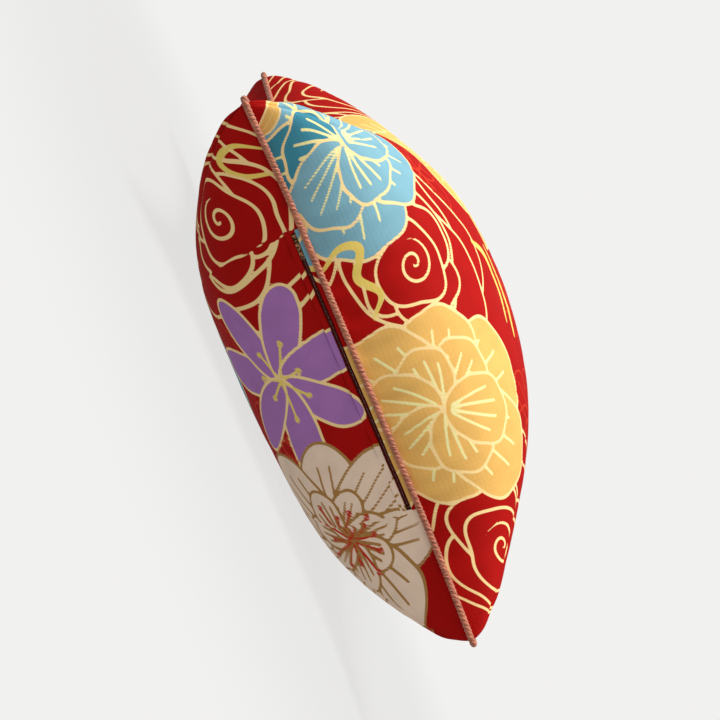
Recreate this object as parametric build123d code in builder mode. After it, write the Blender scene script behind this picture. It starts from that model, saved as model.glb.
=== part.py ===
"""Square throw pillow: a two-panel cover with corded edges and a zip, over a fibre-filled insert.

Millimetres. The pillow lies on its back panel: +Z goes through its thickness to the front
panel, +Y runs up the print, and the zip is in the side seam at -X. The origin is at the
middle of the base.
"""

import os
from math import radians, tan

from build123d import *

# --- driving dimensions: the filled cover ---
half_span = 206.0  # from the middle to a corner, along a side
side_pull_in = 48.0  # how far the sides draw in between the corners
zip_side_pull_in = 40.0  # the same at the zip, which stiffens its side
side_bow = 2.42  # exponent of the curve along a plain side
corner_easing = 0.45  # straightens the sides where they meet at a corner
front_crown = 117.0  # height of the front panel over the seam
back_crown = 93.0  # depth of the back panel under the seam
front_squareness = 2.3  # how boxy the front panel's plan is
back_squareness = 3.5  # how boxy the back panel's plan is
seam_squareness = 2.8  # the same at the seam
fullness = 0.38  # exponent of the height, less is fuller near the seam
corner_softness = 0.002  # rounds the tips of the corners
levels = (0, 0.09, 0.17, 0.28, 0.4, 0.53, 0.66, 0.77, 0.86, 0.92, 0.96, 0.985)  # seam to crown
contour_steps = (0, 0.2, 0.4, 0.6, 0.8, 0.93, 1)  # from the middle of a side to its corner

# --- fabrics ---
cover_cloth = 0.8
insert_cloth = 0.5
cloth_gap = 0.4  # between layers that lie on each other
insert_inset = 9.5  # how far inside the cover's seam the insert's seam lies

# --- piping ---
cord_diameter = 5.0
cord_gap = 0.5  # between the seam and the cord
piping_cloth = 0.6
piping_allowance = 8.0  # width of the piping's lip inside the seam
cord_side = [0.0, 0.36, 0.68, 0.98]  # where the cord's runs meet, from a side's middle to its end
zip_cord_side = [-0.98, -0.74, -0.5, 0.5, 0.74, 0.98]  # the same along the zip

# --- zip, in the back panel beside the piping ---
zip_length = 216.0  # of the slit in the side
tape_overrun = 4.0  # of the tapes past each end of the slit
lip_width = 4.9  # of the folded lip beside the piping
lip_stand = 0.4  # how far the lip's fold stands out of the side
slit_width = 4.0
tape_cloth = 0.5
chain_depth = 5.3  # from the side's face to the middle of the tapes
coil_width = 1.4
coil_thickness = 1.5
coil_spacing = 1.2  # between the two rows, where the slider's neck runs
coil_round = 0.35
hem_depth = 4.2  # of the back panel's turned hem, down from the slit
hem_gap = 1.2
hem_reveal = 0.8  # how far the hem's fold stands up past the panel's cut
stop_length = 2.0
end_room = 1.0  # of the slit past each stop

# --- slider and pull ---
slider_length = 9.0
slider_width = 6.0
slider_plate = 0.9
slider_clearance = 0.3
slider_parting = 0.4  # between the slider and a stop at each end of its run
flange_wall = 0.6
neck_width = 0.8
neck_length = 1.8
neck_offset = 2.6  # towards the slider's nose
bail_bar_diameter = 1.0
bail_rise = 1.65  # of the bar's axis over the slider's plate
bail_gap = 2.2  # between the bail's lugs
bail_lug = 0.45
bail_wall = 0.35  # round the bar
pull_fit = 0.08  # radial play of the pull on its bar
pull_side_play = 0.15
pull_eye_wall = 0.5
pull_length = 14.0
pull_width = 2.8
pull_thickness = 0.9
pull_hole = 1.2

# --- hand stitches that close the insert ---
stitch_count = 20
stitch_length = 3.0
stitch_pitch = 7.0
thread_diameter = 0.6
thread_gap = 0.1

# --- worked out from the sizes above ---
seam_height = back_crown
zip_wall = half_span - zip_side_pull_in  # from the middle to the zip side's face
zip_reach = zip_length / 2 / half_span
slit_top = piping_cloth / 2 + lip_width  # these four go down from the seam plane
slit_bottom = slit_top + slit_width
chain_level = (slit_top + slit_bottom) / 2
hem_end = slit_bottom + hem_depth
coil_half = coil_spacing / 2 + coil_width
tape_length = zip_length + 2 * tape_overrun
coil_length = zip_length - 2 * (stop_length + end_room)
tape_face = -chain_depth + tape_cloth / 2  # these go out from the side's face
tape_back = -chain_depth - tape_cloth / 2
coil_face = -chain_depth + coil_thickness / 2
coil_back = -chain_depth - coil_thickness / 2
plate_face = coil_face + slider_clearance
plate_back = coil_back - slider_clearance
plate_top = plate_face + slider_plate
bar_out = plate_top + bail_rise
pull_hole_radius = bail_bar_diameter / 2 + pull_fit
slider_rest = coil_length / 2 - slider_length / 2 - slider_parting
cord_outset = cord_gap + cord_diameter / 2

# the zip's plane: x runs along the side, y down from the seam, z out of the side
zip_plane = Plane(origin=(-zip_wall, 0, seam_height), x_dir=(0, 1, 0), z_dir=(-1, 0, 0))
# at the middle of the bail's bar: x runs along the side, with y out of it, or with z out of it
bar_middle = (-zip_wall - bar_out, slider_rest, seam_height - chain_level)
bail_plane = Plane(origin=bar_middle, x_dir=(0, 1, 0), z_dir=(0, 0, 1))
pull_plane = Plane(origin=bar_middle, x_dir=(0, 1, 0), z_dir=(-1, 0, 0))

os.makedirs("parts", exist_ok=True)


def drawn_in(along, depth, straight):
    """How far a side is pulled in at a place along it, from -1 to 1 between its corners."""
    rest = max(0.0, (abs(along) - straight) / (1 - straight))
    return depth * (1 - rest**side_bow * (1 + corner_easing * (1 - rest**2)))


def plan_point(across, along, inset):
    """The point of the plan for two shares of the half span, each from -1 to 1."""
    x_depth = drawn_in(along, side_pull_in, 0)
    if across < 0:
        x_depth = drawn_in(along, zip_side_pull_in, zip_reach)
    y_depth = drawn_in(across, side_pull_in, 0)
    return across * (half_span - x_depth - inset), along * (half_span - y_depth - inset)


def contour(level, inset, squareness):
    """Points round the pillow at one level, where 0 is the seam and 1 the crown."""
    fill = corner_softness + (1 - corner_softness) * level ** (1 / fullness)
    shape = seam_squareness + (squareness - seam_squareness) * level
    corner = (1 - fill**0.5) ** (1 / shape)
    eighth = []
    for step in contour_steps:
        along = step * corner
        eighth.append(((1 - fill / (1 - along**shape)) ** (1 / shape), along))
    quarter = eighth + [(along, across) for across, along in reversed(eighth[1:-1])]
    shares = list(quarter)
    for _ in range(3):
        quarter = [(-along, across) for across, along in quarter]
        shares += quarter
    return [plan_point(across, along, inset) for across, along in shares]


def crowned_half(base, crown, rise, inset, squareness):
    """Sections of one half of the pillow, from a base plane up or down to its flattened crown."""
    sections = []
    for level in levels:
        height = base + rise * crown * level / levels[-1]
        with BuildSketch(Plane.XY.offset(height)) as section:
            with BuildLine():
                Spline(*contour(level, inset, squareness), periodic=True)
            make_face()
        sections.append(section.sketch)
    return sections


def cord_points():
    """The piping's route in the seam plane: along each side, and cut across each corner's tip."""
    plain = [-share for share in reversed(cord_side[1:])] + cord_side
    sides = [
        [(1, share) for share in plain],
        [(-share, 1) for share in plain],
        [(-1, -share) for share in zip_cord_side],
        [(share, -1) for share in plain],
    ]
    route = []
    for side in sides:
        for across, along in side:
            step = (0.005 * (abs(across) < 1), 0.005 * (abs(along) < 1))
            before = Vector(*plan_point(across - step[0], along - step[1], 0))
            after = Vector(*plan_point(across + step[0], along + step[1], 0))
            outward = (after - before).cross(Vector(0, 0, 1)).normalized()
            if outward.dot(Vector(across, along)) < 0:
                outward = -outward
            spot = (before + after) / 2 + outward * cord_outset
            route.append((spot.X, spot.Y))
    return route


def cord_radii(route):
    """The largest arc that each corner of the closed route has room for."""
    radii = []
    for here in range(len(route)):
        before, corner, after = (Vector(*route[(here + side) % len(route)]) for side in (-1, 0, 1))
        turn = (corner - before).get_angle(after - corner)
        run = min((corner - before).length, (after - corner).length)
        radii.append(0.45 * run / tan(radians(turn / 2)))
    return radii


def zip_box(out_from, out_to, down_from, down_to, length, middle=0.0, mode=Mode.ADD):
    """Add a block of the zip in the zip's plane, by its reach out, down and along."""
    with Locations((middle, (down_from + down_to) / 2, (out_from + out_to) / 2)):
        Box(length, down_to - down_from, out_to - out_from, mode=mode)


def finish(piece, name):
    """Name a finished piece and write it."""
    piece.label = name
    export_step(piece, f"parts/{name}.step")


# --- cover ---
front_base = seam_height + piping_cloth / 2
front_rise = front_crown - piping_cloth / 2
with BuildPart() as cover_front_panel:
    loft(crowned_half(front_base, front_rise, 1, 0, front_squareness), ruled=True)
    loft(
        crowned_half(front_base, front_rise - cover_cloth, 1, cover_cloth, front_squareness),
        ruled=True,
        mode=Mode.SUBTRACT,
    )
finish(cover_front_panel.part, "cover_front_panel")

back_base = seam_height - piping_cloth / 2
back_rise = back_crown - piping_cloth / 2
with BuildPart(zip_plane) as zip_opening:
    zip_box(-3 * cover_cloth, cover_cloth, 0, slit_bottom + hem_reveal, zip_length)
with BuildPart() as cover_back_panel:
    loft(crowned_half(back_base, back_rise, -1, 0, back_squareness), ruled=True)
    loft(
        crowned_half(back_base, back_rise - cover_cloth, -1, cover_cloth, back_squareness),
        ruled=True,
        mode=Mode.SUBTRACT,
    )
    add(zip_opening.part, mode=Mode.SUBTRACT)
finish(cover_back_panel.part, "cover_back_panel")

# --- piping: a cord all round the seam, on a lip sewn between the panels ---
with BuildPart() as piping_tape:
    with BuildSketch(Plane.XY.offset(seam_height - piping_cloth / 2)):
        with BuildLine():
            Spline(*contour(0, -cord_gap / 2, seam_squareness), periodic=True)
        make_face()
        with BuildLine():
            Spline(*contour(0, piping_allowance, seam_squareness), periodic=True)
        make_face(mode=Mode.SUBTRACT)
    extrude(amount=piping_cloth)
finish(piping_tape.part, "piping_tape")

cord_route = cord_points()
with BuildPart() as piping_cord:
    with BuildLine(Plane.XY.offset(seam_height)) as cord_line:
        FilletPolyline(*cord_route, radius=cord_radii(cord_route), close=True)
    cord_path = cord_line.wires()[0]
    with BuildSketch(Plane(origin=cord_path @ 0, z_dir=cord_path % 0)) as cord_section:
        Circle(cord_diameter / 2)
    sweep(path=cord_path)
finish(piping_cord.part, "piping_cord")
cord_share = piping_cord.part.volume / (cord_section.sketch.area * cord_path.length)
print(f"piping: {cord_path.length:.0f} mm, smallest arc {min(cord_radii(cord_route)):.1f} mm")
print(f"piping: volume over section times length {cord_share:.4f}")

# --- zip: two tapes with their coils, behind a folded lip and a turned hem ---
with BuildPart(zip_plane) as zipper_lip:
    zip_box(-cover_cloth, lip_stand, piping_cloth / 2, slit_top, zip_length - cloth_gap)
    fillet(zipper_lip.edges().filter_by(Axis.Y).group_by(Axis.Z)[0], cover_cloth / 2)
finish(zipper_lip.part, "zipper_lip")

hem_face = -cover_cloth - hem_gap
hem_step = chain_level + slider_width / 2 + 2 * slider_clearance
with BuildPart(zip_plane) as back_panel_hem:
    zip_box(hem_face - cover_cloth, hem_face, slit_bottom, hem_end, tape_length)
    zip_box(tape_face, hem_face, hem_step, hem_end, tape_length)
finish(back_panel_hem.part, "back_panel_hem")

with BuildPart(zip_plane) as zipper_tape_front:
    zip_box(tape_back, tape_face, piping_cloth / 2, chain_level - coil_half, tape_length)
finish(zipper_tape_front.part, "zipper_tape_front")

with BuildPart(zip_plane) as zipper_tape_back:
    zip_box(tape_back, tape_face, chain_level + coil_half, hem_end, tape_length)
finish(zipper_tape_back.part, "zipper_tape_back")

front_row = (chain_level - coil_half, chain_level - coil_spacing / 2)
back_row = (chain_level + coil_spacing / 2, chain_level + coil_half)
with BuildPart(zip_plane) as zipper_coil_front:
    zip_box(coil_back, coil_face, *front_row, coil_length)
    fillet(zipper_coil_front.edges().filter_by(Axis.Y), coil_round)
finish(zipper_coil_front.part, "zipper_coil_front")

with BuildPart(zip_plane) as zipper_coil_back:
    zip_box(coil_back, coil_face, *back_row, coil_length)
    fillet(zipper_coil_back.edges().filter_by(Axis.Y), coil_round)
finish(zipper_coil_back.part, "zipper_coil_back")

stop_middle = (coil_length + stop_length) / 2
with BuildPart(zip_plane) as zipper_top_stops:
    for row in (front_row, back_row):
        zip_box(plate_back, plate_face, *row, stop_length, stop_middle)
finish(zipper_top_stops.part, "zipper_top_stops")

with BuildPart(zip_plane) as zipper_bottom_stop:
    zip_box(plate_back, plate_face, front_row[0], back_row[1], stop_length, -stop_middle)
finish(zipper_bottom_stop.part, "zipper_bottom_stop")

# --- slider: two plates joined by a neck, with turned edges and a bail for the pull ---
slider_top = chain_level - slider_width / 2
slider_bottom = chain_level + slider_width / 2
lug_radius = bail_bar_diameter / 2 + bail_wall
with BuildPart(zip_plane) as zipper_slider:
    zip_box(plate_face, plate_top, slider_top, slider_bottom, slider_length, slider_rest)
    zip_box(plate_back - slider_plate, plate_back, slider_top, slider_bottom, slider_length, slider_rest)
    corners = zipper_slider.edges().filter_by(Axis.X)
    fillet(corners, slider_width / 4)
    for edge_from in (slider_top, slider_bottom - flange_wall):
        edge_to = edge_from + flange_wall
        flange_length = slider_length - slider_width / 2
        zip_box(tape_face + slider_clearance, plate_face, edge_from, edge_to, flange_length, slider_rest)
        zip_box(plate_back, tape_back - slider_clearance, edge_from, edge_to, flange_length, slider_rest)
    zip_box(
        plate_back,
        plate_face,
        chain_level - neck_width / 2,
        chain_level + neck_width / 2,
        neck_length,
        slider_rest + neck_offset,
    )
    for side in (-1, 1):
        with BuildSketch(bail_plane.offset(side * bail_gap / 2)):
            Circle(lug_radius)
            with Locations((0, -bail_rise / 2)):
                Rectangle(2 * lug_radius, bail_rise)
        extrude(amount=side * bail_lug)
    with BuildSketch(bail_plane.offset(-bail_gap / 2)):
        Circle(bail_bar_diameter / 2)
    extrude(amount=bail_gap)
finish(zipper_slider.part, "zipper_slider")

eye_radius = pull_hole_radius + pull_eye_wall
eye_width = bail_gap - 2 * pull_side_play
tab_start = lug_radius + pull_width / 4
tab_length = pull_length - tab_start
with BuildPart() as zipper_pull:
    with BuildSketch(bail_plane):
        Circle(eye_radius)
        with Locations((-(tab_start + pull_width / 2) / 2, 0)):
            Rectangle(tab_start + pull_width / 2, pull_thickness)
    extrude(amount=eye_width / 2, both=True)
    with BuildSketch(pull_plane.offset(-pull_thickness / 2)):
        with Locations((-tab_start - tab_length / 2, 0)):
            SlotOverall(tab_length, pull_width)
        with Locations((-pull_length + pull_width / 2, 0)):
            Circle(pull_hole / 2, mode=Mode.SUBTRACT)
    extrude(amount=pull_thickness)
    with BuildSketch(bail_plane):
        Circle(pull_hole_radius)
    extrude(amount=eye_width, both=True, mode=Mode.SUBTRACT)
finish(zipper_pull.part, "zipper_pull")

# --- insert: a plain cushion of its own, closed by hand and filled ---
insert_front_rise = front_crown - cover_cloth - cloth_gap
insert_back_rise = back_crown - cover_cloth - cloth_gap
insert_inner = insert_inset + insert_cloth
with BuildPart() as insert_front_panel:
    loft(crowned_half(seam_height, insert_front_rise, 1, insert_inset, front_squareness), ruled=True)
    loft(
        crowned_half(seam_height, insert_front_rise - insert_cloth, 1, insert_inner, front_squareness),
        ruled=True,
        mode=Mode.SUBTRACT,
    )
finish(insert_front_panel.part, "insert_front_panel")

with BuildPart() as insert_back_panel:
    loft(crowned_half(seam_height, insert_back_rise, -1, insert_inset, back_squareness), ruled=True)
    loft(
        crowned_half(seam_height, insert_back_rise - insert_cloth, -1, insert_inner, back_squareness),
        ruled=True,
        mode=Mode.SUBTRACT,
    )
finish(insert_back_panel.part, "insert_back_panel")

filling_inset = insert_inner + cloth_gap
filling_front_rise = insert_front_rise - insert_cloth - cloth_gap
filling_back_rise = insert_back_rise - insert_cloth - cloth_gap
with BuildPart() as fibre_filling:
    loft(crowned_half(seam_height, filling_front_rise, 1, filling_inset, front_squareness), ruled=True)
    loft(crowned_half(seam_height, filling_back_rise, -1, filling_inset, back_squareness), ruled=True)
finish(fibre_filling.part, "fibre_filling")

stitch_places = []
for stitch in range(stitch_count):
    across = (stitch - (stitch_count - 1) / 2) * stitch_pitch / half_span
    x, y = plan_point(across, -1, insert_inset - thread_gap - thread_diameter / 2)
    stitch_places.append((x, y, seam_height))
with BuildPart() as insert_closing_stitches:
    with Locations(*stitch_places):
        Cylinder(thread_diameter / 2, stitch_length)
finish(insert_closing_stitches.part, "insert_closing_stitches")
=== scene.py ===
"""Square throw pillow with a bold floral print, twisted piping and a concealed side zip."""

from __future__ import annotations

import logging
import math
from dataclasses import dataclass
from enum import Enum
from typing import Any, Callable, Sequence

import bpy
import numpy as np
from mathutils import Euler, Matrix, Vector


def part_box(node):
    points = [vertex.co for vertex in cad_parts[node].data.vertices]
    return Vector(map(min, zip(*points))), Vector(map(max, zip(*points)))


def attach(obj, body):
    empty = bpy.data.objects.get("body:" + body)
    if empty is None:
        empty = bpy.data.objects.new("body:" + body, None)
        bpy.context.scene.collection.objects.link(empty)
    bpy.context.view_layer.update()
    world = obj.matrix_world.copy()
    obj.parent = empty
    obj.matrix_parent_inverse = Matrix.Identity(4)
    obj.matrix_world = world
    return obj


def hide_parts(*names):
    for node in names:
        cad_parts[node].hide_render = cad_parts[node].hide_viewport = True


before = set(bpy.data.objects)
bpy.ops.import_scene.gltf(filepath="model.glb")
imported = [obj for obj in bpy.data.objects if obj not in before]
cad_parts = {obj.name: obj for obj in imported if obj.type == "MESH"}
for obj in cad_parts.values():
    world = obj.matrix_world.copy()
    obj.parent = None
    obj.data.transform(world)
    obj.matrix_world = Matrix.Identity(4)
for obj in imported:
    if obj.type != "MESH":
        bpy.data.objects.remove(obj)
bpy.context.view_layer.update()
MM = 0.001
WAVE_BANDS = 20  # bands of a wave texture in one unit of its scale
FULL_TURN = 6.283  # of the puckers' waves, in radians
PHASES = 6.28  # the range of their random phases
HEADINGS = 3.14  # the range of the slow swells' random directions
log = logging.getLogger("throw_pillow")

Array = np.ndarray
Colour = tuple[float, float, float]


def from_srgb(red: int, green: int, blue: int) -> Colour:
    """Turn a screen colour into linear light.

    Args:
        red: The red channel, from 0 to 255.
        green: The green channel.
        blue: The blue channel.

    Returns:
        The colour, from 0 to 1.
    """
    def linear(channel: int) -> float:
        """One channel in linear light."""
        share = channel / 255
        return share / 12.92 if share <= 0.04045 else ((share + 0.055) / 1.055) ** 2.4
    return linear(red), linear(green), linear(blue)


class Dye(Enum):
    """The colours that the cloth is printed and dyed with."""

    RED = from_srgb(170, 7, 2)
    GOLD = from_srgb(250, 216, 150)
    STRAW = from_srgb(236, 206, 104)
    CREAM = from_srgb(242, 230, 160)
    OCHRE = from_srgb(234, 182, 98)
    SKY = from_srgb(124, 172, 186)
    TEAL = from_srgb(62, 136, 156)
    MAUVE = from_srgb(172, 118, 182)
    SHELL = from_srgb(244, 216, 190)
    BROWN = from_srgb(170, 124, 66)
    CORAL = from_srgb(190, 44, 18)
    BRICK = from_srgb(186, 52, 38)


# --- shader maths -------------------------------------------------------------------------


class Value:
    """A shader socket that takes part in Python expressions."""

    def __init__(self, graph: "Graph", socket: Any) -> None:
        """Hold a socket and the graph that it is in."""
        self.graph = graph
        self.socket = socket

    def maths(self, operation: str, *others: Any) -> "Value":
        """Add one Math node.

        Args:
            operation: The Math node's operation.
            others: The node's other inputs, values or numbers.

        Returns:
            The result.
        """
        inputs = dict(enumerate((self, *others)))
        return self.graph.node("ShaderNodeMath", {"operation": operation}, inputs)

    def __add__(self, other: Any) -> "Value":
        """Add."""
        return self.maths("ADD", other)

    def __sub__(self, other: Any) -> "Value":
        """Take away."""
        return self.maths("SUBTRACT", other)

    def __rsub__(self, other: Any) -> "Value":
        """Take this away from a number."""
        return (self * -1.0) + other

    def __mul__(self, other: Any) -> "Value":
        """Multiply."""
        return self.maths("MULTIPLY", other)

    __radd__ = __add__
    __rmul__ = __mul__

    def step(self, low: float, high: float) -> "Value":
        """Rise smoothly from 0 to 1 as the value goes from low to high."""
        settings = {"interpolation_type": "SMOOTHSTEP"}
        return self.graph.node("ShaderNodeMapRange", settings, {0: self, 1: low, 2: high})


class Graph:
    """The node tree of one material."""

    def __init__(self, name: str) -> None:
        """Make the material with a bare Principled shader.

        Args:
            name: The material's name.
        """
        self.material = bpy.data.materials.new(name)
        self.material.use_nodes = True
        self.tree = self.material.node_tree
        self.shader = self.tree.nodes["Principled BSDF"]

    def node(self, kind: str, settings: dict[str, Any], inputs: dict[Any, Any], output: Any = 0) -> Value:
        """Add a node.

        Args:
            kind: The node's type.
            settings: Its settings, which are set first.
            inputs: Numbers, colours or values for its sockets, by name or place.
            output: The name or place of the socket to read.

        Returns:
            The chosen output.
        """
        node = self.tree.nodes.new(kind)
        for key, setting in settings.items():
            setattr(node, key, setting)
        for key, given in inputs.items():
            if isinstance(given, Value):
                self.tree.links.new(given.socket, node.inputs[key])
            elif isinstance(given, tuple) and node.inputs[key].type == "RGBA":
                node.inputs[key].default_value = (*given, 1.0)
            else:
                node.inputs[key].default_value = given
        return Value(self, node.outputs[output])

    def mix(self, share: Any, low: Any, high: Any) -> Value:
        """Mix two colours by a share."""
        return self.node("ShaderNodeMix", {"data_type": "RGBA"}, {0: share, 6: low, 7: high}, 2)

    def attribute(self, name: str, output: str = "Fac") -> Value:
        """Read one of the mesh's attributes."""
        return self.node("ShaderNodeAttribute", {"attribute_name": name}, {}, output)

    def place(self, scale: Sequence[float] = (1, 1, 1)) -> Value:
        """Object coordinates, scaled."""
        spot = self.node("ShaderNodeTexCoord", {}, {}, "Object")
        return self.node("ShaderNodeMapping", {}, {"Vector": spot, "Scale": tuple(scale)})

    def noise(self, where: Value, scale: float, detail: float = 3.0) -> Value:
        """Fractal noise at a place, where scale is in features per metre."""
        inputs = {"Vector": where, "Scale": scale, "Detail": detail}
        return self.node("ShaderNodeTexNoise", {}, inputs, "Fac")

    def threads(self, where: Value, pitch: float, direction: str) -> Value:
        """Even waves across one axis.

        Args:
            where: The place.
            pitch: How far apart the threads are, in metres.
            direction: The axis, X, Y or Z.

        Returns:
            The waves' height.
        """
        settings = {"wave_type": "BANDS", "bands_direction": direction}
        inputs = {"Vector": where, "Scale": 1.0 / (pitch * WAVE_BANDS)}
        return self.node("ShaderNodeTexWave", settings, inputs, "Fac")

    def bump(self, height: Value, distance: float, strength: float = 1.0) -> Value:
        """A normal from a height, where distance is in metres."""
        inputs = {"Height": height, "Distance": distance, "Strength": strength}
        return self.node("ShaderNodeBump", {}, inputs, "Normal")

    def finish(self, links: dict[str, Value], constants: dict[str, Any]) -> bpy.types.Material:
        """Wire the shader.

        Args:
            links: What varies over the surface, by the shader's socket names.
            constants: What is the same all over.

        Returns:
            The material.
        """
        for name, value in links.items():
            self.tree.links.new(value.socket, self.shader.inputs[name])
        for name, constant in constants.items():
            self.shader.inputs[name].default_value = constant
        return self.material


@dataclass(frozen=True)
class PrintedCloth:
    """Satin-faced cotton, printed edge to edge."""

    thread_pitch: float = 0.55 * MM
    line_blur: float = 0.28  # half the soft edge of a printed line, in millimetres
    wear: Colour = (0.02, 0.005, 0.005)

    def material(self) -> bpy.types.Material:
        """Make the finish, which reads the print from the mesh.

        Returns:
            The material.
        """
        graph = Graph("printed cloth")
        line = graph.attribute("print_line")
        fill = graph.attribute("print_fill", "Color")
        ink = graph.attribute("print_ink", "Color")
        mask = 1.0 - line.step(-self.line_blur, self.line_blur)
        here = graph.place()
        wear = graph.noise(here, 60.0, 4.0)
        soft = graph.mix(wear.step(0.3, 0.75) * 0.1, fill, self.wear)
        colour = graph.mix(mask, soft, ink)
        cloth = graph.attribute("cloth", "Vector")
        across = graph.threads(cloth, self.thread_pitch, "X")
        along = graph.threads(cloth, self.thread_pitch, "Y")
        weave = across * 0.5 + along * 0.5 + graph.noise(cloth, 1500.0, 2.0) * 0.6
        normal = graph.bump(weave + mask * 0.35, 0.09 * MM, 0.55)
        rough = 0.7 + wear * 0.14 - mask * 0.08
        return graph.finish(
            {"Base Color": colour, "Roughness": rough, "Normal": normal},
            {"Specular IOR Level": 0.1},
        )


@dataclass(frozen=True)
class Yarn:
    """Twisted yarn, with fine fibres along each ply."""

    name: str = "piping yarn"
    light: Colour = from_srgb(232, 140, 102)
    dark: Colour = from_srgb(104, 50, 32)

    def material(self) -> bpy.types.Material:
        """Make the finish, whose fibres follow the strand's own coordinates.

        Returns:
            The material.
        """
        graph = Graph(self.name)
        along = graph.attribute("strand", "Vector")
        fibre = graph.noise(along, 1.0, 4.0)
        fleck = graph.noise(graph.place(), 420.0, 3.0)
        tone = graph.mix(fibre.step(0.3, 0.7), self.dark, self.light)
        colour = graph.mix(fleck.step(0.55, 0.8) * 0.55, tone, self.dark)
        normal = graph.bump(fibre, 0.35 * MM, 0.9)
        rough = 0.5 + fibre * 0.25
        return graph.finish(
            {"Base Color": colour, "Roughness": rough, "Normal": normal},
            {"Sheen Weight": 0.3, "Specular IOR Level": 0.4},
        )


@dataclass(frozen=True)
class PlainCloth:
    """A plain woven tape or lining."""

    name: str
    colour: Colour
    thread_pitch: float = 0.7 * MM

    def material(self) -> bpy.types.Material:
        """Make the finish.

        Returns:
            The material.
        """
        graph = Graph(self.name)
        here = graph.place()
        weave = graph.threads(here, self.thread_pitch, "Y") * graph.threads(here, self.thread_pitch, "Z")
        cloud = graph.noise(here, 90.0, 4.0)
        deep = tuple(channel * 0.6 for channel in self.colour)
        colour = graph.mix(weave * 0.5 + cloud * 0.5, deep, self.colour)
        normal = graph.bump(weave + cloud * 0.4, 0.12 * MM, 0.7)
        return graph.finish(
            {"Base Color": colour, "Roughness": 0.78 + cloud * 0.1, "Normal": normal},
            {"Specular IOR Level": 0.25},
        )


@dataclass(frozen=True)
class AgedMetal:
    """Darkened brass, rubbed bright in scattered patches and fine streaks."""

    name: str = "aged zip metal"
    bright: Colour = from_srgb(176, 128, 84)
    dark: Colour = from_srgb(74, 44, 34)

    def material(self) -> bpy.types.Material:
        """Make the finish.

        Returns:
            The material.
        """
        graph = Graph(self.name)
        here = graph.place()
        patina = graph.noise(here, 700.0, 5.0)
        scratch = graph.noise(graph.place((1.0, 0.08, 1.0)), 5200.0, 2.0)
        worn = (patina * 0.7 + scratch * 0.3).step(0.42, 0.66)
        colour = graph.mix(worn, self.dark, self.bright)
        normal = graph.bump(scratch, 0.02 * MM, 0.5)
        return graph.finish(
            {"Base Color": colour, "Roughness": 0.5 - worn * 0.2, "Normal": normal},
            {"Metallic": 0.9},
        )


# --- the pillow's form --------------------------------------------------------------------


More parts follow.
